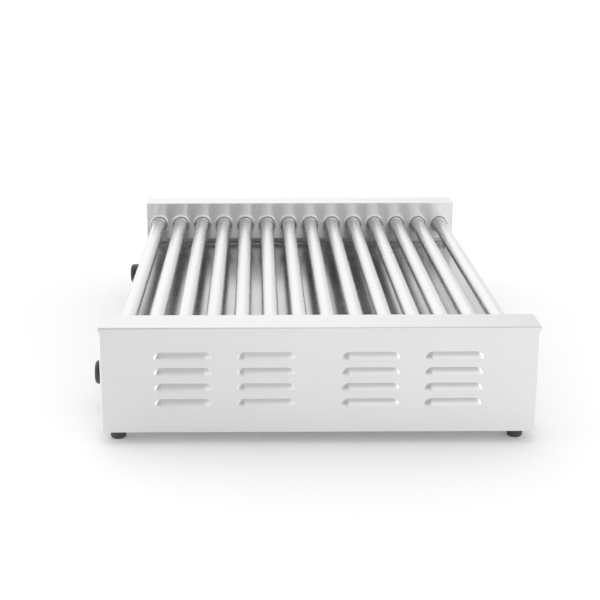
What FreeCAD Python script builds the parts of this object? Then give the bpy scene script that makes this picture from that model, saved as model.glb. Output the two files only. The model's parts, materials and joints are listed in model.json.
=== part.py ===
import FreeCAD, Part

import math
import os

from FreeCAD import Vector

# Hot dog roller grill. The rollers lie along X, the front with its controls is at -Y and
# +Z is up. The origin is on the floor, under the middle of the outline. Millimetres.

# Body
LENGTH = 898.0  # over the two end housings
DEPTH = 625.0  # front to back
HEIGHT = 177.0  # floor to the top of the housings
UNDERSIDE_Z = 19.0  # floor to the lower edge of the body
HOUSING = 59.0  # thickness of each end housing
SHEET = 1.2
BEND_R = 3.0  # outside radius of the folded edges
LID_LIP = 0.2  # how far the lid stands past the end walls of a cover
REACH = 26.0  # how far the knobs and the cord gland stand out of the body
ROW_Y = -1.6  # middle of the roller row, the louvres and the feet

# Rollers and the drawn collars they pass through
ROLLER_COUNT = 14
ROLLER_PITCH = 44.0
ROLLER_R = 12.7
ROLLER_WALL = 1.0
ROLLER_Z = 135.0
ROLLER_LEFT = 408.0  # tube end from the middle, on the plain side
ROLLER_RIGHT = 424.0  # tube end from the middle, on the drive side
SLINGER_R = 14.75
SLINGER_NEAR = 379.0
SLINGER_FAR = 386.0
COLLAR_R = 17.8
COLLAR_WALL = 1.9
COLLAR_REACH = 8.0
COLLAR_ROOT_R = 1.5

# Louvres pressed into each outer wall
LOUVRE_COLUMNS = (-192.8, -74.4, 74.4, 192.8)  # column middles, from ROW_Y
LOUVRE_ROWS = 4
LOUVRE_PITCH = 23.4
LOUVRE_FIRST = 47.4  # lid to the lower edge of the first row
LOUVRE_WIDTH = 82.0
LOUVRE_RISE = 10.5
LOUVRE_OUT = 4.0

# Drip tray and the space it lies in
TRAY_TOP_Z = 93.5
TRAY_SHEET = 1.0
TRAY_HEM = 1.4
TRAY_HEM_WIDTH = 2.4
TRAY_HEM_R = 0.6
TRAY_PULL_DROP = 13.0
SLOT_TOP_Z = 104.5
DECK_TOP_Z = 91.8

# Chain drive: 1/4 inch pitch, every wheel alike
CHAIN_PITCH = 6.35
CHAIN_LINKS = 206
CHAIN_X = 414.0
CHAIN_ROOM = 1.6  # half of the gap between the inner plates
CHAIN_ROLLER_R = 1.65
PIN_R = 1.155
PIN_CLEARANCE = 0.1
PLATE_R = 2.9
PLATE_THICK = 0.75
WHEEL_TEETH = 16
WHEEL_THICK = 2.8
TOOTH_OUT = 1.4  # pitch circle to tooth tip
LOWER_WHEEL_Z = 62.0
SHAFT_R = 6.0
RUNNING = 0.05  # radial clearance of the running fits

# Controls on the front panel
KNOB_X = 293.0
KNOB_Z = 56.0
KNOB_R = 19.5
KNOB_ROUND = 5.0
SPINDLE_R = 3.0
PILOT_X = 246.0
PILOT_R = 5.0
ROCKER_X = 212.0
ROCKER_R = 11.8
ROCKER_WIDTH = 15.0
ROCKER_TILT = 10.0
GLAND_X = 150.0
GLAND_Z = 50.0
CORD_R = 4.0

# Feet and screws
SCREW_R = 2.05
FOOT_R = 12.5
FOOT_X = 418.0
FOOT_SPREAD = 290.5

END_X = LENGTH / 2
INNER_X = END_X - HOUSING
HALF_DEPTH = DEPTH / 2
WALL_Y = HALF_DEPTH - LID_LIP
PANEL_Y = WALL_Y - SHEET - 0.2
FRONT_Y = HALF_DEPTH - 1.5
LID_UNDER_Z = HEIGHT - SHEET
PAN_Z = UNDERSIDE_Z + SHEET
PAN_TOP_Z = PAN_Z + SHEET
ROLLER_YS = [ROW_Y + (i - (ROLLER_COUNT - 1) / 2) * ROLLER_PITCH for i in range(ROLLER_COUNT)]
WHEEL_R = CHAIN_PITCH / (2 * math.sin(math.pi / WHEEL_TEETH))
TOOTH_ANGLE = 2 * math.pi / WHEEL_TEETH
X_AXIS = Vector(1, 0, 0)
Y_AXIS = Vector(0, 1, 0)
Z_AXIS = Vector(0, 0, 1)


# Small helpers


def box(x0, x1, y0, y1, z0, z1):
    corner = Vector(min(x0, x1), min(y0, y1), min(z0, z1))
    return Part.makeBox(abs(x1 - x0), abs(y1 - y0), abs(z1 - z0), corner)


def rod_x(radius, x0, x1, y, z):
    return Part.makeCylinder(radius, x1 - x0, Vector(x0, y, z), X_AXIS)


def rod_y(radius, y0, y1, x, z):
    return Part.makeCylinder(radius, y1 - y0, Vector(x, y0, z), Y_AXIS)


def rod_z(radius, z0, z1, x, y):
    return Part.makeCylinder(radius, z1 - z0, Vector(x, y, z0), Z_AXIS)


def line(a, b):
    return Part.LineSegment(a, b).toShape()


def arc(a, middle, b):
    return Part.Arc(a, middle, b).toShape()


def face_of(edges):
    return Part.Face(Part.Wire(edges))


def polygon(points):
    return Part.Face(Part.makePolygon(points + points[:1]))


def turned(points, origin, axis):
    """Solid of revolution of a closed outline."""
    return polygon(points).revolve(origin, axis, 360)


def mirrored(shape):
    return shape.mirror(Vector(0, 0, 0), X_AXIS)


def joined(shapes):
    return shapes[0].multiFuse(shapes[1:]).removeSplitter()


def save(name, shapes):
    solids = [solid for shape in shapes for solid in shape.Solids]
    shape = solids[0] if len(solids) == 1 else Part.makeCompound(solids)
    shape.exportStep(os.path.join("parts", name + ".step"))


# End housings


def louvre_block(y, z, radius, back_x):
    """Round-nosed bar with round ends, cut level below and flat behind."""
    half = LOUVRE_WIDTH / 2 - LOUVRE_RISE
    arc_r = (LOUVRE_RISE**2 + LOUVRE_OUT**2) / (2 * LOUVRE_OUT)
    centre_x = END_X + LOUVRE_OUT - arc_r
    foot = Vector(back_x, y - half, z)
    nose = Vector(centre_x + radius, y - half, z)
    rise = math.sqrt(radius**2 - (back_x - centre_x) ** 2)
    crown = Vector(back_x, y - half, z + rise)
    slant = math.atan2(rise, back_x - centre_x) / 2
    middle = Vector(centre_x + radius * math.cos(slant), y - half, z + radius * math.sin(slant))
    profile = face_of([line(foot, nose), arc(nose, middle, crown), line(crown, foot)])
    bar = profile.extrude(Vector(0, 2 * half, 0))
    near_end = profile.revolve(Vector(0, y - half, z), X_AXIS, 90)
    far_end = profile.translated(Vector(0, 2 * half, 0)).revolve(Vector(0, y + half, z), X_AXIS, -90)
    return joined([bar, near_end, far_end])


def louvre_places():
    rows = [HEIGHT - LOUVRE_FIRST - row * LOUVRE_PITCH for row in range(LOUVRE_ROWS)]
    return [(ROW_Y + column, z) for column in LOUVRE_COLUMNS for z in rows]


def wall_shell():
    """Outer wall with its two end walls, folded with rounded upright edges."""

    def upright_block(inset, x0, z0, z1):
        block = box(x0, END_X - inset, -(WALL_Y - inset), WALL_Y - inset, z0, z1)
        uprights = [edge for edge in block.Edges if abs(edge.Length - (z1 - z0)) < 1e-6]
        corners = [edge for edge in uprights if edge.CenterOfMass.x > x0 + 1]
        return block.makeFillet(BEND_R - inset, corners)

    outside = upright_block(0, INNER_X, UNDERSIDE_Z, LID_UNDER_Z)
    return outside.cut(upright_block(SHEET, INNER_X - 1, UNDERSIDE_Z - 1, HEIGHT + 1))


def lid_channel():
    """Lid folded down over the top of the outer wall."""
    y = -HALF_DEPTH
    skirt_z = HEIGHT - 2 * BEND_R
    bend_x = END_X - BEND_R
    bend_z = HEIGHT - BEND_R
    inner_r = BEND_R - SHEET
    half_turn = math.sqrt(0.5)

    def at(x, z):
        return Vector(x, y, z)

    outer_middle = at(bend_x + BEND_R * half_turn, bend_z + BEND_R * half_turn)
    inner_middle = at(bend_x + inner_r * half_turn, bend_z + inner_r * half_turn)
    edges = [
        line(at(INNER_X, HEIGHT), at(bend_x, HEIGHT)),
        arc(at(bend_x, HEIGHT), outer_middle, at(END_X, bend_z)),
        line(at(END_X, bend_z), at(END_X, skirt_z)),
        line(at(END_X, skirt_z), at(END_X - SHEET, skirt_z)),
        line(at(END_X - SHEET, skirt_z), at(END_X - SHEET, bend_z)),
        arc(at(END_X - SHEET, bend_z), inner_middle, at(bend_x, LID_UNDER_Z)),
        line(at(bend_x, LID_UNDER_Z), at(INNER_X, LID_UNDER_Z)),
        line(at(INNER_X, LID_UNDER_Z), at(INNER_X, HEIGHT)),
    ]
    return face_of(edges).extrude(Vector(0, DEPTH, 0))


def cover_screw_places():
    return [(END_X - 8, ROW_Y + step) for step in (-255, -85, 85, 255)]


def end_cover():
    relief = 4.5
    skirt_z = HEIGHT - 2 * BEND_R
    bridge_z = skirt_z - 0.8
    bridge_y = WALL_Y - BEND_R
    shell = wall_shell()
    shell = shell.cut(box(END_X - relief, END_X + 1, -DEPTH, DEPTH, bridge_z, HEIGHT))
    bridge = box(END_X - SHEET, END_X, -bridge_y, bridge_y, bridge_z, skirt_z)
    flange = box(END_X - 17, END_X - SHEET, -(WALL_Y - 6), WALL_Y - 6, UNDERSIDE_Z, PAN_Z)
    cover = joined([shell, bridge, lid_channel(), flange])
    for side in (-1, 1):
        corner_y = side * (WALL_Y - 4)
        notch = box(END_X - 4, END_X + 1, corner_y, side * DEPTH, UNDERSIDE_Z - 1, UNDERSIDE_Z + 2)
        cover = cover.cut(notch)
    arc_r = (LOUVRE_RISE**2 + LOUVRE_OUT**2) / (2 * LOUVRE_OUT)
    hoods = [louvre_block(y, z, arc_r, END_X - SHEET) for y, z in louvre_places()]
    hollows = [louvre_block(y, z, arc_r - SHEET, END_X - SHEET - 1) for y, z in louvre_places()]
    holes = [rod_z(SCREW_R, UNDERSIDE_Z - 1, PAN_Z + 1, x, y) for x, y in cover_screw_places()]
    return cover.multiFuse(hoods).cut(Part.makeCompound(hollows + holes))


def collar_ring(y):
    """Drawn collar round one roller hole, standing out of the inner panel."""
    bore_r = COLLAR_R - COLLAR_WALL
    root = COLLAR_ROOT_R
    edge_r = COLLAR_WALL / 2
    front_x = INNER_X - COLLAR_REACH
    hip = root * math.sqrt(0.5)

    def at(x, radius):
        return Vector(x, y, ROLLER_Z + radius)

    edges = [
        line(at(INNER_X + SHEET, bore_r), at(front_x + edge_r, bore_r)),
        arc(at(front_x + edge_r, bore_r), at(front_x, bore_r + edge_r), at(front_x + edge_r, COLLAR_R)),
        line(at(front_x + edge_r, COLLAR_R), at(INNER_X - root, COLLAR_R)),
        arc(
            at(INNER_X - root, COLLAR_R),
            at(INNER_X - root + hip, COLLAR_R + root - hip),
            at(INNER_X, COLLAR_R + root),
        ),
        line(at(INNER_X, COLLAR_R + root), at(INNER_X + SHEET, COLLAR_R + root)),
        line(at(INNER_X + SHEET, COLLAR_R + root), at(INNER_X + SHEET, bore_r)),
    ]
    return face_of(edges).revolve(Vector(0, y, ROLLER_Z), X_AXIS, 360)


def inner_panel(shaft_hole):
    """Upright sheet between the rollers and a housing, with a long slot beside the tray."""
    outer_x = INNER_X + SHEET
    panel = box(INNER_X, outer_x, -PANEL_Y, PANEL_Y, PAN_TOP_Z, LID_UNDER_Z)
    ring_r = COLLAR_R + COLLAR_ROOT_R
    cuts = [rod_x(ring_r, INNER_X - 1, outer_x + 1, y, ROLLER_Z) for y in ROLLER_YS]
    cuts.append(box(INNER_X - 1, outer_x + 1, -300, 300, TRAY_TOP_Z, SLOT_TOP_Z))
    if shaft_hole:
        cuts.append(rod_x(10, INNER_X - 1, outer_x + 1, MOTOR.y, MOTOR.z))
    return panel.cut(Part.makeCompound(cuts)).multiFuse([collar_ring(y) for y in ROLLER_YS])


# Chain drive. Wheels and pins are placed in the plane across X, at CHAIN_X.


def lower_wheel_spread():
    """Half distance between the lower wheels that makes the loop a whole number of links."""
    half_span = (ROLLER_YS[-1] - ROLLER_YS[0]) / 2
    drop = ROLLER_Z - LOWER_WHEEL_Z
    half_loop = (CHAIN_LINKS - WHEEL_TEETH) * CHAIN_PITCH / 2 - half_span
    return (half_loop**2 - half_span**2 - drop**2) / (2 * (half_loop - half_span))


FIRST = Vector(CHAIN_X, ROLLER_YS[0], ROLLER_Z)
LAST = Vector(CHAIN_X, ROLLER_YS[-1], ROLLER_Z)
MOTOR = Vector(CHAIN_X, ROW_Y + lower_wheel_spread(), LOWER_WHEEL_Z)
IDLER = Vector(CHAIN_X, ROW_Y - lower_wheel_spread(), LOWER_WHEEL_Z)


def heading_between(here, there):
    return math.atan2(there.z - here.z, there.y - here.y)


def chain_legs():
    """Straight runs and arcs of the loop, each with its length in links."""
    wheels = [FIRST, LAST, MOTOR, IDLER]
    legs = []
    for i, here in enumerate(wheels):
        there = wheels[(i + 1) % 4]
        after = wheels[(i + 2) % 4]
        heading = heading_between(here, there)
        turn = (heading - heading_between(there, after)) % (2 * math.pi)
        legs.append((here, heading, here.distanceToPoint(there) / CHAIN_PITCH, False))
        legs.append((there, heading, turn / TOOTH_ANGLE, True))
    return legs


def chain_pins():
    legs = chain_legs()
    pins = []
    for link in range(CHAIN_LINKS):
        count = link
        for centre, heading, links, is_arc in legs:
            if count <= links:
                break
            count -= links
        along = 0 if is_arc else count * CHAIN_PITCH
        outward = heading + math.pi / 2 - (count * TOOTH_ANGLE if is_arc else 0)
        offset = Vector(0, math.cos(outward), math.sin(outward)) * WHEEL_R
        travel = Vector(0, math.cos(heading), math.sin(heading)) * along
        pins.append(centre + offset + travel)
    return pins


PINS = chain_pins()


def seat_angle(centre):
    """Angle from +Y towards +Z at which a wheel's gap meets the pin closest to it."""
    pin = min(PINS, key=lambda place: place.distanceToPoint(centre))
    return heading_between(centre, pin)


def toothed_wheel(centre):
    """Flat toothed wheel, turned so that its gaps meet the chain's pins."""
    half = WHEEL_THICK / 2
    seat_r = CHAIN_ROLLER_R + 0.13
    gap_out = WHEEL_R + TOOTH_OUT + 0.4
    gap_half = seat_r + 1.1
    back_x = CHAIN_X - half - 1
    gap = polygon(
        [
            Vector(back_x, WHEEL_R, -seat_r),
            Vector(back_x, gap_out, -gap_half),
            Vector(back_x, gap_out, gap_half),
            Vector(back_x, WHEEL_R, seat_r),
        ]
    ).extrude(X_AXIS * (WHEEL_THICK + 2))
    seat = rod_x(seat_r, back_x, back_x + WHEEL_THICK + 2, WHEEL_R, 0)
    cutter = joined([gap, seat])
    cutters = []
    for tooth in range(WHEEL_TEETH):
        copy = cutter.copy()
        copy.rotate(Vector(0, 0, 0), X_AXIS, math.degrees(seat_angle(centre) + tooth * TOOTH_ANGLE))
        cutters.append(copy)
    disc = rod_x(WHEEL_R + TOOTH_OUT, CHAIN_X - half, CHAIN_X + half, 0, 0)
    wheel = disc.cut(Part.makeCompound(cutters))
    wheel.translate(Vector(0, centre.y, centre.z))
    return wheel


def plate(inner_x):
    """Chain side plate from pin to pin, on the +X side, with its first pin at the origin."""

    def at(y, z):
        return Vector(inner_x, y, z)

    edges = [
        line(at(0, -PLATE_R), at(CHAIN_PITCH, -PLATE_R)),
        arc(at(CHAIN_PITCH, -PLATE_R), at(CHAIN_PITCH + PLATE_R, 0), at(CHAIN_PITCH, PLATE_R)),
        line(at(CHAIN_PITCH, PLATE_R), at(0, PLATE_R)),
        arc(at(0, PLATE_R), at(-PLATE_R, 0), at(0, -PLATE_R)),
    ]
    return face_of(edges).extrude(X_AXIS * PLATE_THICK)


def inner_link():
    bushes = [rod_x(CHAIN_ROLLER_R, -CHAIN_ROOM, CHAIN_ROOM, y, 0) for y in (0, CHAIN_PITCH)]
    solid = joined([plate(CHAIN_ROOM), mirrored(plate(CHAIN_ROOM))] + bushes)
    reach = CHAIN_ROOM + PLATE_THICK + 1
    bores = [rod_x(PIN_R + PIN_CLEARANCE, -reach, reach, y, 0) for y in (0, CHAIN_PITCH)]
    return solid.cut(Part.makeCompound(bores))


def outer_link():
    room = CHAIN_ROOM + PLATE_THICK + 0.1
    reach = room + PLATE_THICK + 0.5
    pins = [rod_x(PIN_R, -reach, reach, y, 0) for y in (0, CHAIN_PITCH)]
    return joined([plate(room), mirrored(plate(room))] + pins)


def drive_chain():
    kinds = (inner_link(), outer_link())
    links = []
    for i, pin in enumerate(PINS):
        following = PINS[(i + 1) % CHAIN_LINKS]
        link = kinds[i % 2].copy()
        link.rotate(Vector(0, 0, 0), X_AXIS, math.degrees(heading_between(pin, following)))
        link.translate(pin)
        links.append(link)
    return links


def roller_wheel(y):
    centre = Vector(CHAIN_X, y, ROLLER_Z)
    return toothed_wheel(centre).cut(rod_x(ROLLER_R, CHAIN_X - 9, CHAIN_X + 9, y, ROLLER_Z))


def motor_wheel():
    shaft = rod_x(SHAFT_R, INNER_X - 13, CHAIN_X + 8, MOTOR.y, MOTOR.z)
    hub = rod_x(2 * SHAFT_R, CHAIN_X, CHAIN_X + 7, MOTOR.y, MOTOR.z)
    return joined([toothed_wheel(MOTOR), shaft, hub])


def idler_wheel():
    hub = rod_x(11, CHAIN_X - 9, CHAIN_X + 4, IDLER.y, IDLER.z)
    wheel = joined([toothed_wheel(IDLER), hub])
    return wheel.cut(rod_x(SHAFT_R + RUNNING, CHAIN_X - 20, CHAIN_X + 20, IDLER.y, IDLER.z))


def idler_post():
    outer_x = INNER_X + SHEET
    flange = rod_x(15, outer_x, outer_x + 3, IDLER.y, IDLER.z)
    shoulder = rod_x(10, outer_x + 3, CHAIN_X - 9.3, IDLER.y, IDLER.z)
    stud = rod_x(SHAFT_R, CHAIN_X - 9.3, CHAIN_X + 4.3, IDLER.y, IDLER.z)
    head = rod_x(9, CHAIN_X + 4.3, CHAIN_X + 7, IDLER.y, IDLER.z)
    return joined([flange, shoulder, stud, head])


MOTOR_PLATE_X = INNER_X - 3.0


def motor_bracket():
    plate_box = box(MOTOR_PLATE_X, INNER_X, MOTOR.y - 42, MOTOR.y + 42, PAN_TOP_Z + 1, DECK_TOP_Z - 3)
    foot = box(INNER_X - 40, MOTOR_PLATE_X, MOTOR.y + 39, MOTOR.y + 42, PAN_TOP_Z + 1, 60)
    return joined([plate_box, foot]).cut(rod_x(10, INNER_X - 9, INNER_X + 1, MOTOR.y, MOTOR.z))


def gear_motor():
    gearbox_x = MOTOR_PLATE_X - 46
    gearbox = box(gearbox_x, MOTOR_PLATE_X, MOTOR.y - 33, MOTOR.y + 33, 28, 86)
    gearbox = gearbox.makeFillet(5, [edge for edge in gearbox.Edges if abs(edge.Length - 46) < 1e-6])
    can_z = 57
    can = rod_x(27, gearbox_x - 70, gearbox_x, MOTOR.y, can_z)
    can = can.makeFillet(3, [edge for edge in can.Edges if edge.CenterOfMass.x < gearbox_x - 60])
    fan_boss = rod_x(9, gearbox_x - 80, gearbox_x - 70, MOTOR.y, can_z)
    seat = rod_x(SHAFT_R + RUNNING, INNER_X - 14, INNER_X, MOTOR.y, MOTOR.z)
    return joined([gearbox, can, fan_boss]).cut(seat)


# Rollers and what carries them


def roller(y):
    """Tube with a slinger ring near each end and a stop ring on the plain side."""
    tube = rod_x(ROLLER_R, -ROLLER_LEFT, ROLLER_RIGHT, y, ROLLER_Z)
    slinger_edge = 1.0
    rings = []
    for side in (-1, 1):
        ends = sorted((side * SLINGER_NEAR, side * SLINGER_FAR))
        ring = rod_x(SLINGER_R, ends[0], ends[1], y, ROLLER_Z)
        rings.append(ring.makeFillet(slinger_edge, [e for e in ring.Edges if e.Length > 3 * SLINGER_R]))
    rings.append(rod_x(SLINGER_R, -ROLLER_LEFT, -ROLLER_LEFT + 3.5, y, ROLLER_Z))
    bore = rod_x(ROLLER_R - ROLLER_WALL, -ROLLER_LEFT - 1, ROLLER_RIGHT + 1, y, ROLLER_Z)
    return joined([tube] + rings).cut(bore)


BAR_X = INNER_X + 7.0
BAR_THICK = 3.0
BUSH_R = 14.7


def bearing_bar():
    web = box(BAR_X, BAR_X + BAR_THICK, -306, 306, 112, 158)
    ledge = box(INNER_X + SHEET, BAR_X, -306, 306, 156.5, 158)
    holes = [rod_x(BUSH_R, BAR_X - 1, BAR_X + BAR_THICK + 1, y, ROLLER_Z) for y in ROLLER_YS]
    return joined([web, ledge]).cut(Part.makeCompound(holes))


def roller_bush(y):
    sleeve = rod_x(BUSH_R, BAR_X - 1, BAR_X + 6, y, ROLLER_Z)
    flange = rod_x(17.5, BAR_X - 2.5, BAR_X, y, ROLLER_Z)
    bore = rod_x(ROLLER_R + RUNNING, BAR_X - 9, BAR_X + 9, y, ROLLER_Z)
    return joined([sleeve, flange]).cut(bore)


HEATER_R = 4.5
HEATER_END = 436.0
BRACKET_X = 430.0


def heater(y):
    outline = [
        Vector(-HEATER_END - 6, y, ROLLER_Z),
        Vector(-HEATER_END - 6, y, ROLLER_Z + 2),
        Vector(-HEATER_END, y, ROLLER_Z + 2),
        Vector(-HEATER_END, y, ROLLER_Z + HEATER_R),
        Vector(HEATER_END, y, ROLLER_Z + HEATER_R),
        Vector(HEATER_END, y, ROLLER_Z + 2),
        Vector(HEATER_END + 6, y, ROLLER_Z + 2),
        Vector(HEATER_END + 6, y, ROLLER_Z),
    ]
    return turned(outline, Vector(0, y, ROLLER_Z), X_AXIS)


def heater_bracket():
    """Strip that holds the heater ends, on two arms that reach in between the wheels."""
    strip = box(BRACKET_X, BRACKET_X + 1.5, -306, 306, 122, 148)
    arms = []
    for y in (ROLLER_YS[0] + ROLLER_PITCH / 2, ROLLER_YS[-1] - ROLLER_PITCH / 2):
        arms.append(box(BAR_X + BAR_THICK, BRACKET_X, y - 0.75, y + 0.75, 122, 130))
    holes = [rod_x(HEATER_R, BRACKET_X - 1, BRACKET_X + 3, y, ROLLER_Z) for y in ROLLER_YS]
    return joined([strip] + arms).cut(Part.makeCompound(holes))


# Lower compartment


def base_pan():
    half_y = FRONT_Y - SHEET
    pan = box(-END_X + 2, END_X - 2, -half_y, half_y, PAN_Z, PAN_TOP_Z)
    cuts = []
    for x, y in cover_screw_places():
        cuts += [rod_z(SCREW_R, PAN_Z - 1, PAN_TOP_Z + 1, side * x, y) for side in (-1, 1)]
    for row in range(-2, 3):
        for column in (-1, 1):
            middle = column * 200
            cuts.append(box(middle - 45, middle + 45, row * 14 - 2, row * 14 + 2, PAN_Z - 1, PAN_TOP_Z + 1))
    return pan.cut(Part.makeCompound(cuts))


def front_panel():
    panel = box(-INNER_X, INNER_X, -FRONT_Y, -FRONT_Y + SHEET, UNDERSIDE_Z, DECK_TOP_Z)
    tabs = []
    for side in (-1, 1):
        tabs.append(box(side * INNER_X, side * (INNER_X - SHEET), -FRONT_Y + SHEET, -298, 26, 86))
    cuts = [rod_y(5.2, -FRONT_Y - 1, -FRONT_Y + 3, side * KNOB_X, KNOB_Z) for side in (-1, 1)]
    cuts += [rod_y(PILOT_R, -FRONT_Y - 1, -FRONT_Y + 3, side * PILOT_X, KNOB_Z) for side in (-1, 1)]
    for x in (-ROCKER_X, ROCKER_X):
        cuts.append(box(x - 10, x + 10, -FRONT_Y - 1, -FRONT_Y + 3, KNOB_Z - 14, KNOB_Z + 14))
    return joined([panel] + tabs).cut(Part.makeCompound(cuts))


def rear_panel():
    panel = box(-INNER_X, INNER_X, FRONT_Y - SHEET, FRONT_Y, UNDERSIDE_Z, DECK_TOP_Z)
    tabs = []
    for side in (-1, 1):
        tabs.append(box(side * INNER_X, side * (INNER_X - SHEET), 298, FRONT_Y - SHEET, 26, 86))
    cuts = [rod_y(8, FRONT_Y - 3, FRONT_Y + 1, GLAND_X, GLAND_Z)]
    for middle in (-230, 30, 280):
        for i in range(9):
            x = middle + (i - 4) * 9
            cuts.append(box(x - 1.5, x + 1.5, FRONT_Y - 3, FRONT_Y + 1, 38, 74))
    return joined([panel] + tabs).cut(Part.makeCompound(cuts))


def deck():
    half_x = INNER_X - 1.4
    half_y = FRONT_Y - SHEET
    return box(-half_x, half_x, -half_y, half_y, DECK_TOP_Z - SHEET, DECK_TOP_Z)


def tray_hem(x0, x1, y0, y1):
    """Folded edge that stands above the tray's floor, rounded along its crest."""
    bar = box(x0, x1, y0, y1, TRAY_TOP_Z - TRAY_SHEET, TRAY_TOP_Z + TRAY_HEM)
    length = max(x1 - x0, y1 - y0)
    long_edges = [edge for edge in bar.Edges if abs(edge.Length - length) < 1e-6]
    return bar.makeFillet(TRAY_HEM_R, [edge for edge in long_edges if edge.CenterOfMass.z > TRAY_TOP_Z])


def drip_tray():
    """Flat pan with a low hem at its sides and back and a rolled pull along its front edge."""
    half_x = INNER_X - 1.2
    front_y = -FRONT_Y - 2.2
    floor_z = TRAY_TOP_Z - TRAY_SHEET
    back_y = 300.0
    curl_r = 3.0
    floor = box(-half_x, half_x, front_y + 2, back_y, floor_z, TRAY_TOP_Z)
    parts = [
        floor,
        tray_hem(-half_x, half_x, back_y - TRAY_HEM_WIDTH, back_y),
        tray_hem(-half_x, TRAY_HEM_WIDTH - half_x, -298, back_y),
        tray_hem(half_x - TRAY_HEM_WIDTH, half_x, -298, back_y),
    ]
    lower_z = TRAY_TOP_Z - TRAY_PULL_DROP

    def at(y, z):
        return Vector(-half_x, y, z)

    out = math.sqrt(0.5)
    bend_y = front_y + 2
    bend_z = TRAY_TOP_Z - 2
    curl_y = front_y - curl_r
    thick = TRAY_SHEET
    pull = [
        line(at(bend_y, TRAY_TOP_Z), at(bend_y, floor_z)),
        arc(at(bend_y, floor_z), at(bend_y - out, bend_z + out), at(front_y + thick, bend_z)),
        line(at(front_y + thick, bend_z), at(front_y + thick, lower_z + curl_r)),
        arc(
            at(front_y + thick, lower_z + curl_r),
            at(curl_y + (curl_r + thick) * out, lower_z + curl_r - (curl_r + thick) * out),
            at(curl_y, lower_z - thick),
        ),
        line(at(curl_y, lower_z - thick), at(curl_y, lower_z)),
        arc(
            at(curl_y, lower_z),
            at(curl_y + curl_r * out, lower_z + curl_r - curl_r * out),
            at(front_y, lower_z + curl_r),
        ),
        line(at(front_y, lower_z + curl_r), at(front_y, bend_z)),
        arc(at(front_y, bend_z), at(bend_y - 2 * out, bend_z + 2 * out), at(bend_y, TRAY_TOP_Z)),
    ]
    parts.append(face_of(pull).extrude(Vector(2 * half_x, 0, 0)))
    return joined(parts)


# Controls


def knob(x):
    front = -HALF_DEPTH - REACH
    back = -FRONT_Y - 1.3
    body = Part.makeCone(KNOB_R, KNOB_R - 1.3, back - front, Vector(x, back, KNOB_Z), -Y_AXIS)
    rim = [edge for edge in body.Edges if edge.CenterOfMass.y < front + 0.1 and edge.Length > 6 * SPINDLE_R]
    body = body.makeFillet(KNOB_ROUND, rim)
    flutes = []
    for i in range(18):
        angle = 2 * math.pi * (i + 0.5) / 18
        flute_x = x + (KNOB_R + 1.2) * math.cos(angle)
        flute_z = KNOB_Z + (KNOB_R + 1.2) * math.sin(angle)
        flutes.append(rod_y(2.2, front - 1, back - 6, flute_x, flute_z))
    pointer_tip = KNOB_Z + KNOB_R - KNOB_ROUND - 1
    pointer = box(x - 0.9, x + 0.9, front - 1, front + 0.8, KNOB_Z + 3, pointer_tip)
    bore = rod_y(SPINDLE_R, front + 8, back + 1, x, KNOB_Z)
    return body.cut(Part.makeCompound(flutes + [pointer, bore]))


def spindle(x):
    return rod_y(SPINDLE_R, -HALF_DEPTH - REACH + 8, -288, x, KNOB_Z)


def thermostat(x):
    nose = rod_y(5, -FRONT_Y - 0.8, -FRONT_Y + 6, x, KNOB_Z)
    nut = rod_y(8, -FRONT_Y + SHEET, -FRONT_Y + 5, x, KNOB_Z)
    body = box(x - 21, x + 21, -FRONT_Y + 5, -FRONT_Y + 36, KNOB_Z - 17, KNOB_Z + 17)
    body = body.makeFillet(3, [edge for edge in body.Edges if abs(edge.Length - 31) < 1e-6])
    bulb_tail = rod_y(3.5, -FRONT_Y + 36, -FRONT_Y + 50, x, KNOB_Z - 9)
    seat = rod_y(SPINDLE_R + RUNNING, -HALF_DEPTH - REACH, -287.5, x, KNOB_Z)
    return joined([nose, nut, body, bulb_tail]).cut(seat)


ROCKER_Y = -FRONT_Y + 3.0


def rocker(x):
    """Rocker button, tipped to its off side: round about its pivot, with a shallow V face."""
    body = rod_x(ROCKER_R, x - ROCKER_WIDTH / 2, x + ROCKER_WIDTH / 2, ROCKER_Y, KNOB_Z)
    dip_y = ROCKER_Y - 6.5
    slope = math.tan(math.radians(ROCKER_TILT))
    far = 2 * ROCKER_R
    front = polygon(
        [
            Vector(x - ROCKER_WIDTH, dip_y, KNOB_Z),
            Vector(x - ROCKER_WIDTH, dip_y - far * slope, KNOB_Z + far),
            Vector(x - ROCKER_WIDTH, dip_y - far * 2, KNOB_Z + far),
            Vector(x - ROCKER_WIDTH, dip_y - far * 2, KNOB_Z - far),
            Vector(x - ROCKER_WIDTH, dip_y - far * slope, KNOB_Z - far),
        ]
    ).extrude(X_AXIS * 2 * ROCKER_WIDTH)
    back_y = ROCKER_Y + 4
    behind = box(x - ROCKER_WIDTH, x + ROCKER_WIDTH, back_y, back_y + far, KNOB_Z - far, KNOB_Z + far)
    button = body.cut(Part.makeCompound([front, behind]))
    button.rotate(Vector(x, ROCKER_Y, KNOB_Z), X_AXIS, ROCKER_TILT)
    return button


def rocker_case(x):
    front = -FRONT_Y - 1.8
    bezel = box(x - 12.5, x + 12.5, front, -FRONT_Y, KNOB_Z - 17, KNOB_Z + 17)
    bezel = bezel.makeFillet(1.2, [e for e in bezel.Edges if abs(e.CenterOfMass.y - front) < 1e-6])
    body = box(x - 10, x + 10, -FRONT_Y, -FRONT_Y + 24, KNOB_Z - 14, KNOB_Z + 14)
    half = ROCKER_WIDTH / 2 + 0.4
    room_r = ROCKER_R + 0.4
    hollow = rod_x(room_r, x - half, x + half, ROCKER_Y, KNOB_Z)
    mouth = box(x - half, x + half, front - 1, ROCKER_Y, KNOB_Z - room_r, KNOB_Z + room_r)
    return joined([bezel, body]).cut(Part.makeCompound([hollow, mouth]))


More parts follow.
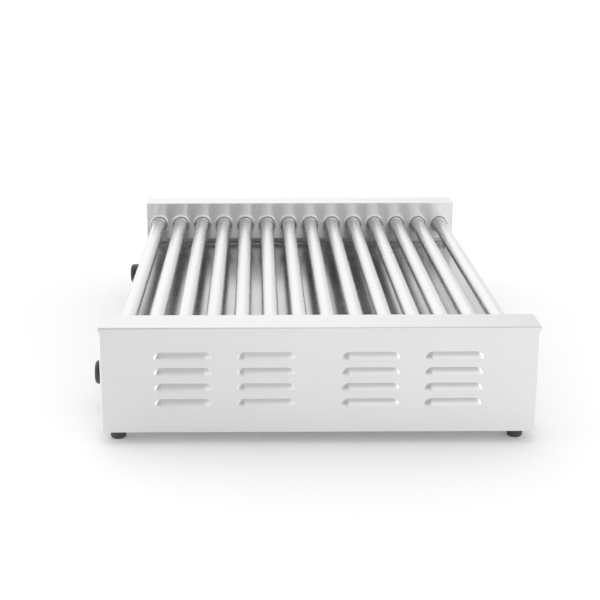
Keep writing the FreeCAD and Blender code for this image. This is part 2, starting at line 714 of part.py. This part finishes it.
def pilot_light(x):
    front = -FRONT_Y
    rim = rod_y(7.5, front - 1.5, front, x, KNOB_Z)
    dome_r = 10.0
    dome = Part.makeSphere(dome_r, Vector(x, front + 5.5, KNOB_Z))
    dome = dome.common(rod_y(5.8, front - 6, front - 1, x, KNOB_Z))
    barrel = rod_y(PILOT_R, front, front + 18, x, KNOB_Z)
    return joined([rim, barrel, dome])


def cord_gland():
    """Cable gland: flange nut and dome nut outside, locknut inside, bored for the cord."""
    wall = FRONT_Y
    outer = HALF_DEPTH + REACH

    def hexagon(across, y0, y1):
        corner_r = across / math.sqrt(3)
        points = []
        for i in range(6):
            x = GLAND_X + corner_r * math.cos(i * math.pi / 3)
            z = GLAND_Z + corner_r * math.sin(i * math.pi / 3)
            points.append(Vector(x, y0, z))
        return polygon(points).extrude(Vector(0, y1 - y0, 0))

    nut = hexagon(22, wall, wall + 6)
    body = rod_y(8, wall - 11, wall + 8, GLAND_X, GLAND_Z)
    dome_base = rod_y(9.8, wall + 6, outer - 9, GLAND_X, GLAND_Z)
    dome = Part.makeCone(9.8, 6.4, 9, Vector(GLAND_X, outer - 9, GLAND_Z), Y_AXIS)
    locknut = hexagon(20, wall - SHEET - 4, wall - SHEET)
    bore = rod_y(CORD_R, wall - 20, outer + 1, GLAND_X, GLAND_Z)
    return joined([nut, body, dome_base, dome, locknut]).cut(bore)


def terminal_block():
    block = box(GLAND_X - 35, GLAND_X + 35, 262, 284, PAN_TOP_Z, PAN_TOP_Z + 20)
    cuts = []
    for i in range(6):
        x = GLAND_X - 27.5 + 11 * i
        cuts.append(rod_z(2.6, PAN_TOP_Z + 14, PAN_TOP_Z + 21, x, 267.5))
        cuts.append(rod_z(2.6, PAN_TOP_Z + 14, PAN_TOP_Z + 21, x, 278.5))
    return block.cut(Part.makeCompound(cuts))


def foot(x, y):
    body = Part.makeCone(FOOT_R - 1.6, FOOT_R, PAN_Z, Vector(x, y, 0), Z_AXIS)
    return body.makeFillet(3.0, [e for e in body.Edges if e.CenterOfMass.z < 0.1 and e.Length > FOOT_R])


def cover_screw(x, y):
    head_r = 4.0
    head = rod_z(head_r, UNDERSIDE_Z - 2.2, UNDERSIDE_Z, x, y)
    head = head.makeFillet(1.2, [e for e in head.Edges if e.CenterOfMass.z < UNDERSIDE_Z - 2])
    drive = box(x - 2.6, x + 2.6, y - 0.5, y + 0.5, UNDERSIDE_Z - 3, UNDERSIDE_Z - 1)
    shank = rod_z(SCREW_R, UNDERSIDE_Z, PAN_TOP_Z + 4, x, y)
    return joined([head, shank]).cut(drive)


def main():
    os.makedirs("parts", exist_ok=True)
    cover = end_cover()
    save("right_end_cover", [cover])
    save("left_end_cover", [mirrored(cover)])
    save("right_inner_panel", [inner_panel(True)])
    save("left_inner_panel", [mirrored(inner_panel(False))])
    for number, y in enumerate(ROLLER_YS, start=1):
        save(f"roller_{number:02d}", [roller(y)])
        save(f"roller_sprocket_{number:02d}", [roller_wheel(y)])
    save("motor_sprocket", [motor_wheel()])
    save("idler_sprocket", [idler_wheel()])
    save("idler_post", [idler_post()])
    save("drive_chain", drive_chain())
    save("motor_bracket", [motor_bracket()])
    save("gear_motor", [gear_motor()])
    bar = bearing_bar()
    save("bearing_bars", [bar, mirrored(bar)])
    strip = heater_bracket()
    save("heater_brackets", [strip, mirrored(strip)])
    bushes = [roller_bush(y) for y in ROLLER_YS]
    save("roller_bushes", bushes + [mirrored(bush) for bush in bushes])
    save("heating_elements", [heater(y) for y in ROLLER_YS])
    save("base_pan", [base_pan()])
    save("front_panel", [front_panel()])
    save("rear_panel", [rear_panel()])
    save("deck", [deck()])
    save("drip_tray", [drip_tray()])
    for side, name in ((-1, "left"), (1, "right")):
        save(f"{name}_knob", [knob(side * KNOB_X)])
        save(f"{name}_spindle", [spindle(side * KNOB_X)])
        save(f"{name}_rocker", [rocker(side * ROCKER_X)])
    save("thermostats", [thermostat(side * KNOB_X) for side in (-1, 1)])
    save("rocker_cases", [rocker_case(side * ROCKER_X) for side in (-1, 1)])
    save("pilot_lights", [pilot_light(side * PILOT_X) for side in (-1, 1)])
    save("cord_gland", [cord_gland()])
    save("terminal_block", [terminal_block()])
    foot_ys = (ROW_Y - FOOT_SPREAD, ROW_Y + FOOT_SPREAD)
    save("feet", [foot(side * FOOT_X, y) for side in (-1, 1) for y in foot_ys])
    places = cover_screw_places()
    save("cover_screws", [cover_screw(side * x, y) for side in (-1, 1) for x, y in places])


main()
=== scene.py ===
import json
import math

import bmesh
import bpy
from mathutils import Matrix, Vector


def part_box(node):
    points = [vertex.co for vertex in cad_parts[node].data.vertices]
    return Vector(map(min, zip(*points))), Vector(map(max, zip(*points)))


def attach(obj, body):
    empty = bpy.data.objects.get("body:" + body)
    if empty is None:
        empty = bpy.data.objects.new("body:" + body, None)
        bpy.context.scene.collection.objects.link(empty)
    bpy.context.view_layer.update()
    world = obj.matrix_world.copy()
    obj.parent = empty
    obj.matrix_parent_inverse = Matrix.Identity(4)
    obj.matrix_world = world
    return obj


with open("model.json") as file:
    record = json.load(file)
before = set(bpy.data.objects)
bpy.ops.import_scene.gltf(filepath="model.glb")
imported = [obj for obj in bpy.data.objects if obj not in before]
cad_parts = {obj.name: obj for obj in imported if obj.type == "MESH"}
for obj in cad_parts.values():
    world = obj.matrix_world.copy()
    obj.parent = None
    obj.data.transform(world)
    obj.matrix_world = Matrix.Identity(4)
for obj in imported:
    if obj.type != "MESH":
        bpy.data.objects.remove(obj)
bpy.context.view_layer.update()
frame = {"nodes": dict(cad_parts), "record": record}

# Looks of the hot dog roller grill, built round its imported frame. Metres, +Z up, front at -Y.

NODES = frame["nodes"]

MM = 0.001
SMOOTH_ANGLE = math.radians(32)  # folds sharper than this keep a hard edge

# Camera, placed from the right end cover
LOUVRE_DEPTH = 0.004  # how far the louvres stand out of the end wall
CAMERA_BEYOND = 1.696  # from the end wall
CAMERA_Y = -0.0892
CAMERA_ABOVE = 0.5358  # from the top of the lid
CAMERA_YAW = math.radians(0.63)
CAMERA_PITCH = math.radians(16.3)
CAMERA_LENS = 75.94
CAMERA_SENSOR = 36.0
CAMERA_SHIFT = 0.05

# White rings on the collars' lips, whose white is a painted highlight on the lips: a ring of round
# section
HIGHLIGHT_RING_R = 0.01700
HIGHLIGHT_RING_SECTION_R = 0.0015
HIGHLIGHT_RING_BEHIND = 0.75  # middle of the section behind the collar's lip, as a part of its radius
HIGHLIGHT_RING_STEPS = 56
HIGHLIGHT_RING_SIDES = 10

# Strips behind the tray slots
GUARD_SHEET = 0.0012
GUARD_BACK = 0.0032  # inner panel to strip
GUARD_GAP = 0.0002  # inner panel to the strip's folded edges
GUARD_BELOW = 0.012  # from the top of the tray
GUARD_ABOVE = 0.016
GUARD_END = 0.008  # short of the panel's ends

# Scales round the knobs: distances reach out from the knob's rim, angles are in degrees
DIAL_PROUD = 0.00012
BAND_GAP = 0.0022
BAND_THIN = 0.0004
BAND_WIDE = 0.0026
BAND_STEPS = 60
TICK_GAP = 0.0052
TICK_LONG = 0.0024
TICK_HALF_TURN = 0.8
TICKS = 7
OFF_LONG = 0.0016
OFF_HALF_TURN = 2.2
SCALE_START = 30  # clockwise from the top
SCALE_TURN = 240

# White lines in the knobs' grooves
POINTER_HALF_WIDTH = 0.00085
POINTER_FRONT = 0.00012  # behind the knob's front face
POINTER_BACK = 0.0009
POINTER_START = 0.0034  # from the knob's middle
POINTER_SHORT = 0.0068  # short of the knob's rim
POINTER_ROUND = 0.00025

# Screws in the panels: distance from the middle and height, on both sides of the middle
PANEL_SCREWS = {
    "front_panel": [(0.372, 0.030), (0.372, 0.070)],
    "rear_panel": [(0.372, 0.030), (0.372, 0.080), (0.1, 0.084)],
}

# Heights and radii of a screw head, in millimetres; the socket's radii are to its flats
SCREW_DOME = [(0.0, 3.6), (0.5, 4.0), (1.4, 3.9), (2.0, 3.1), (2.25, 2.0)]
SCREW_SOCKET = [(2.25, 1.75), (0.9, 1.7), (0.9, 0.6)]
SCREW_STEP = 15  # degrees

# Rounded boxes
CORNER_STEPS = 3
RIM_SOFT = 0.4  # of the corner radius

# Studio
FLOOR_HALF = 200.0
FLOOR_WHITE = (0.90, 0.90, 0.90)
FLOOR_GLOW = 0.13
WALL_HIGH = 0.6  # strength of the zone behind the camera, high up
SOFTBOX_WIDTH = 0.32
SOFTBOX_HEIGHT = 0.5
SOFTBOXES = {  # place, point aimed at, watts
    "left_softbox": ((0.72, -1.12, 0.25), (0.40, -0.2, 0.1), 1.6),
    "right_softbox": ((0.67, 1.13, 0.25), (0.40, 0.2, 0.1), 1.3),
}

# Sockets A and B of a Mix node, by its data type
MIX_FLOAT = (2, 3)
MIX_COLOUR = (6, 7)


# Camera: looks along the rollers from the right-hand end, slightly from the front


def make_camera():
    cover_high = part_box("right_end_cover")[1]
    place_x = cover_high.x - LOUVRE_DEPTH + CAMERA_BEYOND
    level = math.cos(CAMERA_PITCH)
    ahead = -math.cos(CAMERA_YAW) * level
    aside = math.sin(CAMERA_YAW) * level
    forward = Vector((ahead, aside, -math.sin(CAMERA_PITCH)))
    camera = bpy.data.objects.new("camera", bpy.data.cameras.new("camera"))
    bpy.context.scene.collection.objects.link(camera)
    camera.location = (place_x, CAMERA_Y, cover_high.z + CAMERA_ABOVE)
    camera.rotation_euler = forward.to_track_quat("-Z", "Y").to_euler()
    camera.data.lens = CAMERA_LENS
    camera.data.sensor_width = CAMERA_SENSOR
    camera.data.shift_x = CAMERA_SHIFT
    bpy.context.scene.camera = camera


# Node helpers


def add_node(tree, kind, inputs, **settings):
    """Node with the settings given, whose inputs are linked to sockets or set to values."""
    made = tree.nodes.new(kind)
    for key, value in settings.items():
        setattr(made, key, value)
    for key, value in inputs.items():
        if isinstance(value, bpy.types.NodeSocket):
            tree.links.new(value, made.inputs[key])
        else:
            made.inputs[key].default_value = value
    return made


class Shader:
    """A Principled material with short calls for the nodes that this scene uses."""

    def __init__(self, name, colour, metallic, roughness, **settings):
        self.material = bpy.data.materials.new(name)
        self.material.use_nodes = True
        self.tree = self.material.node_tree
        self.bsdf = self.tree.nodes["Principled BSDF"]
        self.colour = colour
        self.set("Base Color", (*colour, 1))
        self.set("Metallic", metallic)
        self.set("Roughness", roughness)
        for socket, value in settings.items():
            self.set(socket.replace("_", " ").title(), value)

    def set(self, socket, value):
        self.bsdf.inputs[socket].default_value = value

    def link(self, output, socket):
        self.tree.links.new(output, self.bsdf.inputs[socket])

    def node(self, kind, inputs, **settings):
        return add_node(self.tree, kind, inputs, **settings)

    def place(self, scale):
        """The point in the object's own space, stretched by scale."""
        point = self.node("ShaderNodeTexCoord", {}).outputs["Object"]
        return self.node("ShaderNodeMapping", {"Vector": point, "Scale": scale}).outputs["Vector"]

    def noise(self, scale, detail, roughness=0.5):
        inputs = {"Vector": self.place(scale), "Scale": 1.0, "Detail": detail, "Roughness": roughness}
        return self.node("ShaderNodeTexNoise", inputs).outputs["Fac"]

    def spread(self, value, low, high, from_low=0.25, from_high=0.75):
        """Value stretched to run from low to high."""
        inputs = {
            "Value": value,
            "From Min": from_low,
            "From Max": from_high,
            "To Min": low,
            "To Max": high,
        }
        return self.node("ShaderNodeMapRange", inputs).outputs["Result"]

    def math(self, operation, a, b):
        return self.node("ShaderNodeMath", {0: a, 1: b}, operation=operation).outputs[0]

    def blend(self, first, second, share):
        """Sum of two values, the first by its share and the second by the rest."""
        first = self.math("MULTIPLY", first, share)
        second = self.math("MULTIPLY", second, 1 - share)
        return self.math("ADD", first, second)

    def tint(self, factor, dark, light):
        """Colour between two shades of the material's own colour."""
        darker = (*[c * dark for c in self.colour], 1)
        lighter = (*[min(c * light, 1) for c in self.colour], 1)
        first, second = MIX_COLOUR
        inputs = {"Factor": factor, first: darker, second: lighter}
        return self.node("ShaderNodeMix", inputs, data_type="RGBA").outputs[2]

    def bump(self, height, depth, strength):
        inputs = {"Height": height, "Strength": strength, "Distance": depth}
        made = self.node("ShaderNodeBump", inputs)
        self.link(made.outputs["Normal"], "Normal")

    def tangent(self, direction):
        vector = self.node("ShaderNodeCombineXYZ", dict(zip("XYZ", direction)))
        self.link(vector.outputs["Vector"], "Tangent")


def grain_scale(grain, along, across):
    """Scale of a noise drawn out along the grain's axis."""
    return tuple(along if axis == grain else across for axis in "XYZ")


def brushed(name, colour, rough, grain, blur, turned_grain=None, anisotropic=0.9):
    """Sheet steel brushed along one axis, or along another where the sheet is folded to face Y."""
    shader = Shader(name, colour, 1.0, rough, anisotropic=anisotropic)

    def lines_along(axis):
        fine = shader.noise(grain_scale(axis, 12, 1400), 2.0)
        broad = shader.noise(grain_scale(axis, 5, 260), 4.0, 0.6)
        return shader.blend(fine, broad, 0.8)

    lines = lines_along(grain)
    if turned_grain:
        normal = shader.node("ShaderNodeTexCoord", {}).outputs["Normal"]
        sideways = shader.node("ShaderNodeSeparateXYZ", {"Vector": normal}).outputs["Y"]
        faces_y = shader.math("GREATER_THAN", shader.math("ABSOLUTE", sideways, 0), 0.7)
        first, second = MIX_FLOAT
        inputs = {"Factor": faces_y, first: lines, second: lines_along(turned_grain)}
        lines = shader.node("ShaderNodeMix", inputs, data_type="FLOAT").outputs[0]
    clouds = shader.noise((5, 5, 5), 4.0, 0.6)
    cloudy = shader.blend(lines, clouds, 0.5)
    shader.link(shader.spread(cloudy, rough - 0.03, rough + 0.04), "Roughness")
    shader.link(shader.tint(shader.spread(lines, 0, 1), 0.975, 1.01), "Base Color")
    shader.bump(lines, 0.000002, 0.6)
    shader.tangent(blur)
    return shader.material


def roller_steel():
    """Ground tube: faint rings round the tube, and a haze where sausages roll."""
    shader = Shader("roller_steel", (0.745, 0.745, 0.743), 1.0, 0.27, anisotropic=0.3)
    rings = shader.noise((900, 1, 1), 1.0)
    bands = shader.noise((14, 1, 1), 2.0)
    haze = shader.noise((7, 18, 18), 2.0)
    mixed = shader.blend(bands, haze, 0.5)
    shader.link(shader.spread(mixed, 0.25, 0.29), "Roughness")
    shader.link(shader.tint(shader.spread(mixed, 0, 1), 0.985, 1.01), "Base Color")
    shader.bump(rings, 0.0000002, 0.3)
    shader.tangent((1, 0, 0))
    return shader.material


def polished_tray():
    """Rolled sheet with faint lines along the tray's depth, and wiped smears."""
    shader = Shader("polished_tray", (0.50, 0.50, 0.50), 1.0, 0.2)
    lines = shader.noise((300, 3, 300), 3.0)
    smears = shader.noise((5, 3, 5), 3.0)
    shader.link(shader.spread(smears, 0.16, 0.24), "Roughness")
    shader.link(shader.tint(shader.spread(lines, 0, 1), 0.97, 1.01), "Base Color")
    shader.bump(lines, 0.0000006, 0.4)
    return shader.material


def galvanised():
    """Zinc-coated sheet with spangles."""
    shader = Shader("galvanised_sheet", (0.62, 0.63, 0.64), 1.0, 0.45)
    inputs = {"Vector": shader.place((90, 90, 90)), "Scale": 1.0}
    spangle = shader.node("ShaderNodeTexVoronoi", inputs, feature="F1")
    shade = shader.node("ShaderNodeSeparateColor", {"Color": spangle.outputs["Color"]}).outputs[0]
    shader.link(shader.spread(shade, 0.34, 0.58, 0, 1), "Roughness")
    shader.link(shader.tint(shader.spread(shade, 0, 1, 0, 1), 0.85, 1.1), "Base Color")
    shader.bump(spangle.outputs["Distance"], 0.00003, 0.3)
    return shader.material


def turned_steel(name, colour, rough):
    """Small steel parts: fine marks and darker patches."""
    shader = Shader(name, colour, 1.0, rough)
    marks = shader.noise((900, 900, 900), 2.0)
    patches = shader.noise((60, 60, 60), 4.0, 0.6)
    shader.link(shader.spread(patches, rough - 0.08, rough + 0.1), "Roughness")
    shader.link(shader.tint(shader.spread(patches, 0, 1), 0.8, 1.05), "Base Color")
    shader.bump(marks, 0.00003, 0.4)
    return shader.material


def moulded(name, colour, rough, speck=1200, depth=0.00004, **settings):
    """Moulded plastic or rubber: fine grain, slight gloss changes and a paler rubbed haze."""
    shader = Shader(name, colour, 0.0, rough, **settings)
    grain = shader.noise((speck, speck, speck), 2.0)
    haze = shader.noise((45, 45, 45), 5.0, 0.65)
    shader.link(shader.spread(haze, rough - 0.07, rough + 0.1), "Roughness")
    shader.link(shader.tint(shader.spread(haze, 0, 1), 0.8, 1.35), "Base Color")
    shader.bump(grain, depth, 0.6)
    return shader.material


def make_materials():
    grey = (0.80, 0.80, 0.80)
    pale = (0.90, 0.90, 0.90)
    across_y = (1, 0, 1)
    across_x = (0, 1, 1)
    return {
        "brushed_panel": brushed("brushed_panel", grey, 0.3, "Y", across_y, turned_grain="X"),
        "brushed_inner": brushed("brushed_inner", pale, 0.33, "Y", across_y, anisotropic=1.0),
        "brushed_front": brushed("brushed_front", grey, 0.3, "X", across_x),
        "polished_tray": polished_tray(),
        "roller_steel": roller_steel(),
        "galvanised_sheet": galvanised(),
        "machined_steel": turned_steel("machined_steel", (0.60, 0.60, 0.60), 0.3),
        "chain_steel": turned_steel("chain_steel", (0.30, 0.29, 0.28), 0.35),
        "heater_sheath": turned_steel("heater_sheath", (0.38, 0.34, 0.30), 0.45),
        "motor_paint": moulded("motor_paint", (0.03, 0.03, 0.035), 0.4, 500, 0.00008),
        "ptfe": moulded("ptfe", (0.95, 0.95, 0.945), 0.28),
        "knob_plastic": moulded("knob_plastic", (0.04, 0.04, 0.041), 0.24),
        "rocker_plastic": moulded("rocker_plastic", (0.02, 0.02, 0.02), 0.22),
        "moulded_plastic": moulded("moulded_plastic", (0.025, 0.025, 0.027), 0.5),
        "amber_lens": moulded("amber_lens", (0.85, 0.30, 0.03), 0.12, 300, 0.00002, coat_weight=0.6),
        "terminal_plastic": moulded("terminal_plastic", (0.72, 0.68, 0.58), 0.5),
        "foot_rubber": moulded("foot_rubber", (0.06, 0.06, 0.062), 0.6, 900, 0.00005),
        "white_ink": moulded("white_ink", (0.85, 0.85, 0.83), 0.5),
        "dark_ink": moulded("dark_ink", (0.03, 0.03, 0.032), 0.55),
    }


# Nodes whose look is not the one of their slot
LOOKS = {
    "left_inner_panel": "brushed_inner",
    "right_inner_panel": "brushed_inner",
    "front_panel": "brushed_front",
    "rear_panel": "brushed_front",
    "deck": "brushed_front",
}


def dress_nodes(materials):
    """Every carried-over node takes the material of its slot, and smooth shading on its curves."""
    slots = {part["node"]: part["material_slot"] for part in frame["record"]["subparts"]}
    for name, node in NODES.items():
        node.data.materials.clear()
        node.data.materials.append(materials[LOOKS.get(name, slots[name])])
        node.data.shade_smooth()
        node.data.set_sharp_from_angle(angle=SMOOTH_ANGLE)


# Pieces that the frame lacks


def add_piece(name, mesh, material, body="frame"):
    bmesh.ops.recalc_face_normals(mesh, faces=mesh.faces)
    data = bpy.data.meshes.new(name)
    mesh.to_mesh(data)
    mesh.free()
    data.materials.append(material)
    data.shade_smooth()
    data.set_sharp_from_angle(angle=SMOOTH_ANGLE)
    piece = bpy.data.objects.new(name, data)
    bpy.context.scene.collection.objects.link(piece)
    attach(piece, body)


def skin(mesh, rings, closed=False):
    """Join rings of points into a tube, and cap its ends unless it closes on itself."""
    made = [[mesh.verts.new(point) for point in ring] for ring in rings]
    count = len(made[0])
    pairs = list(zip(made, made[1:]))
    if closed:
        pairs.append((made[-1], made[0]))
    for first, second in pairs:
        for i in range(count):
            j = (i + 1) % count
            mesh.faces.new((first[i], first[j], second[j], second[i]))
    if not closed:
        mesh.faces.new(made[0])
        mesh.faces.new(made[-1])


def rounded_box(mesh, low, high, radius):
    """Upright box with rounded upright edges and softened rims."""
    corners = [(high[0] - radius, high[1] - radius, 0), (low[0] + radius, high[1] - radius, 90)]
    corners += [(low[0] + radius, low[1] + radius, 180), (high[0] - radius, low[1] + radius, 270)]

    def outline(inset, z):
        points = []
        reach = radius - inset
        for x, y, start in corners:
            for i in range(CORNER_STEPS + 1):
                angle = math.radians(start + 90 * i / CORNER_STEPS)
                points.append((x + reach * math.cos(angle), y + reach * math.sin(angle), z))
        return points

    soft = radius * RIM_SOFT
    levels = [(soft, low[2]), (0, low[2] + soft), (0, high[2] - soft), (soft, high[2])]
    skin(mesh, [outline(inset, z) for inset, z in levels])


def roller_lines():
    """Middle of each roller, read from the frame."""
    names = [name for name in sorted(NODES) if name.removeprefix("roller_").isdigit()]
    return [(low + high) / 2 for low, high in map(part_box, names)]


def add_highlight_rings(materials):
    """White rings laid over the collars' lips, one round each roller hole; their white is a painted
    highlight on the lips.
    """
    for side, name in ((-1, "left"), (1, "right")):
        low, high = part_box(name + "_inner_panel")
        lip_x = min(abs(low.x), abs(high.x))
        mesh = bmesh.new()
        for centre in roller_lines():
            rings = []
            for i in range(HIGHLIGHT_RING_STEPS):
                turn = 2 * math.pi * i / HIGHLIGHT_RING_STEPS
                ring = []
                for j in range(HIGHLIGHT_RING_SIDES):
                    roll = 2 * math.pi * j / HIGHLIGHT_RING_SIDES
                    radius = HIGHLIGHT_RING_R + HIGHLIGHT_RING_SECTION_R * math.sin(roll)
                    x = side * (lip_x + HIGHLIGHT_RING_SECTION_R * (HIGHLIGHT_RING_BEHIND - math.cos(roll)))
                    y = centre.y + radius * math.cos(turn)
                    ring.append((x, y, centre.z + radius * math.sin(turn)))
                rings.append(ring)
            skin(mesh, rings, closed=True)
        # the white ptfe material on these rings is a painted highlight on the collars' lips
        add_piece(name + "_roller_highlight_rings", mesh, materials["ptfe"])


def add_slot_guards(materials):
    """Strip behind each tray slot, folded towards the panel at its edges, which catches drips."""
    top_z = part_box("drip_tray")[1].z
    low_z = top_z - GUARD_BELOW
    high_z = top_z + GUARD_ABOVE
    for side, name in ((-1, "left"), (1, "right")):
        panel_low, panel_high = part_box(name + "_inner_panel")
        panel_x = max(abs(panel_low.x), abs(panel_high.x))
        front_y = panel_low.y + GUARD_END
        back_y = panel_high.y - GUARD_END
        back_x = panel_x + GUARD_BACK
        mesh = bmesh.new()

        def strip(near, far, bottom, top):
            inner, outer = sorted((side * near, side * far))
            rounded_box(mesh, (inner, front_y, bottom), (outer, back_y, top), GUARD_SHEET / 3)

        strip(back_x, back_x + GUARD_SHEET, low_z, high_z)
        for edge_z in (low_z, high_z - GUARD_SHEET):
            strip(panel_x + GUARD_GAP, back_x, edge_z, edge_z + GUARD_SHEET)
        add_piece(name + "_slot_guard", mesh, materials["galvanised_sheet"])


def knob_circle(name):
    """Middle and radius of a knob, read from the frame."""
    low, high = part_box(name)
    return (low + high) / 2, (high.z - low.z) / 2


def add_dials(materials):
    """Printed scale round each knob: a square dot for off, then a band that widens, with ticks."""
    panel_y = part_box("front_panel")[0].y
    front, back = panel_y - DIAL_PROUD, panel_y + DIAL_PROUD
    for name in ("left", "right"):
        middle, knob_r = knob_circle(name + "_knob")
        mesh = bmesh.new()

        def at(angle, radius, y):
            turn = math.radians(90 - angle)
            return (middle.x + radius * math.cos(turn), y, middle.z + radius * math.sin(turn))

        def patch(angles, gap, widths):
            inner = knob_r + gap
            rings = []
            for angle, width in zip(angles, widths):
                outer = inner + width
                corners = ((inner, front), (outer, front), (outer, back), (inner, back))
                rings.append([at(angle, radius, y) for radius, y in corners])
            skin(mesh, rings)

        shares = [i / BAND_STEPS for i in range(BAND_STEPS + 1)]
        angles = [SCALE_START + SCALE_TURN * share for share in shares]
        widths = [BAND_THIN + (BAND_WIDE - BAND_THIN) * share for share in shares]
        patch(angles, BAND_GAP, widths)
        for i in range(TICKS):
            angle = SCALE_START + SCALE_TURN * i / (TICKS - 1)
            patch([angle - TICK_HALF_TURN, angle + TICK_HALF_TURN], TICK_GAP, [TICK_LONG] * 2)
        off_angles = [OFF_HALF_TURN * i / 2 for i in range(-2, 3)]
        patch(off_angles, BAND_GAP, [OFF_LONG] * len(off_angles))
        add_piece(name + "_dial", mesh, materials["dark_ink"])


def add_pointers(materials):
    """White line in the groove of each knob."""
    for name in ("left_knob", "right_knob"):
        middle, knob_r = knob_circle(name)
        front_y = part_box(name)[0].y
        left, right = middle.x - POINTER_HALF_WIDTH, middle.x + POINTER_HALF_WIDTH
        low = (left, front_y + POINTER_FRONT, middle.z + POINTER_START)
        high = (right, front_y + POINTER_BACK, middle.z + knob_r - POINTER_SHORT)
        mesh = bmesh.new()
        rounded_box(mesh, low, high, POINTER_ROUND)
        add_piece(name + "_pointer", mesh, materials["white_ink"], name)


def screw_head(mesh, place, out):
    """Pan head with a six-sided socket, facing along Y."""
    rings = []
    for height, radius in SCREW_DOME + SCREW_SOCKET:
        ring = []
        for angle in range(0, 360, SCREW_STEP):
            turn = math.radians(angle)
            reach = radius
            if (height, radius) in SCREW_SOCKET:
                reach /= math.cos(math.radians(angle % 60 - 30))
            offset = Vector((reach * math.cos(turn), out * height, reach * math.sin(turn)))
            ring.append(place + offset * MM)
        rings.append(ring)
    skin(mesh, rings)


def add_panel_screws(materials):
    """Screw heads near the ends of the front and rear panels, and near the rear one's top."""
    for name, places in PANEL_SCREWS.items():
        low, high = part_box(name)
        out, face_y = (-1, low.y) if low.y < 0 else (1, high.y)
        mesh = bmesh.new()
        for x, z in places:
            for side in (-1, 1):
                screw_head(mesh, Vector((side * x, face_y, z)), out)
        add_piece(name + "_screws", mesh, materials["machined_steel"])


# Studio: white floor, pale surroundings with a greyer zone behind the camera, side softboxes


def make_floor():
    far = FLOOR_HALF
    corners = [(-far, -far, 0), (far, -far, 0), (far, far, 0), (-far, far, 0)]
    mesh = bpy.data.meshes.new("floor")
    mesh.from_pydata(corners, [], [(0, 1, 2, 3)])
    floor = bpy.data.objects.new("floor", mesh)
    bpy.context.scene.collection.objects.link(floor)
    shader = Shader("floor", FLOOR_WHITE, 0.0, 0.9)
    shader.set("Specular IOR Level", 0.0)
    shader.set("Emission Color", (1, 1, 1, 1))
    shader.set("Emission Strength", FLOOR_GLOW)
    mesh.materials.append(shader.material)


def make_world():
    """White surroundings whose strength depends on the direction."""
    world = bpy.data.worlds.new("studio")
    bpy.context.scene.world = world
    world.use_nodes = True
    tree = world.node_tree

    def step(value, low, high, start, end):
        inputs = {"Value": value, "From Min": low, "From Max": high, "To Min": start, "To Max": end}
        made = add_node(tree, "ShaderNodeMapRange", inputs, interpolation_type="SMOOTHSTEP")
        return made.outputs["Result"]

    def arithmetic(operation, *values):
        made = add_node(tree, "ShaderNodeMath", dict(enumerate(values)), operation=operation)
        return made.outputs[0]

    def between(low, high, factor):
        span = arithmetic("SUBTRACT", high, low)
        return arithmetic("MULTIPLY_ADD", span, factor, low)

    direction = add_node(tree, "ShaderNodeTexCoord", {}).outputs["Generated"]
    parts = add_node(tree, "ShaderNodeSeparateXYZ", {"Vector": direction}).outputs
    # Everywhere: a little brighter towards the front
    sky = step(parts["Y"], 0.02, 0.30, 1.25, 1.0)
    # Beyond the right-hand end: dark at the front and bright at the rear, but even higher up
    sideways = step(parts["Y"], -0.18, 0.10, 0.1, 1.35)
    wall = between(sideways, WALL_HIGH, step(parts["Z"], 0.2, 0.4, 0, 1))
    beyond = step(parts["X"], 0.10, 0.45, 0, 1)
    below_top = step(parts["Z"], 0.90, 0.99, 1, 0)
    zone = arithmetic("MULTIPLY", beyond, below_top)
    background = tree.nodes["Background"]
    background.inputs["Color"].default_value = (1, 1, 1, 1)
    tree.links.new(between(sky, wall, zone), background.inputs["Strength"])


def make_lights():
    for name, (place, aim, watts) in SOFTBOXES.items():
        data = bpy.data.lights.new(name, "AREA")
        data.shape = "RECTANGLE"
        data.size = SOFTBOX_WIDTH
        data.size_y = SOFTBOX_HEIGHT
        data.energy = watts
        light = bpy.data.objects.new(name, data)
        light.location = place
        light.rotation_euler = (Vector(aim) - Vector(place)).to_track_quat("-Z", "Y").to_euler()
        light.visible_camera = False
        bpy.context.scene.collection.objects.link(light)


bpy.context.scene.view_settings.view_transform = "Standard"
make_camera()
looks = make_materials()
dress_nodes(looks)
add_highlight_rings(looks)
add_slot_guards(looks)
add_dials(looks)
add_pointers(looks)
add_panel_screws(looks)
make_floor()
make_world()
make_lights()
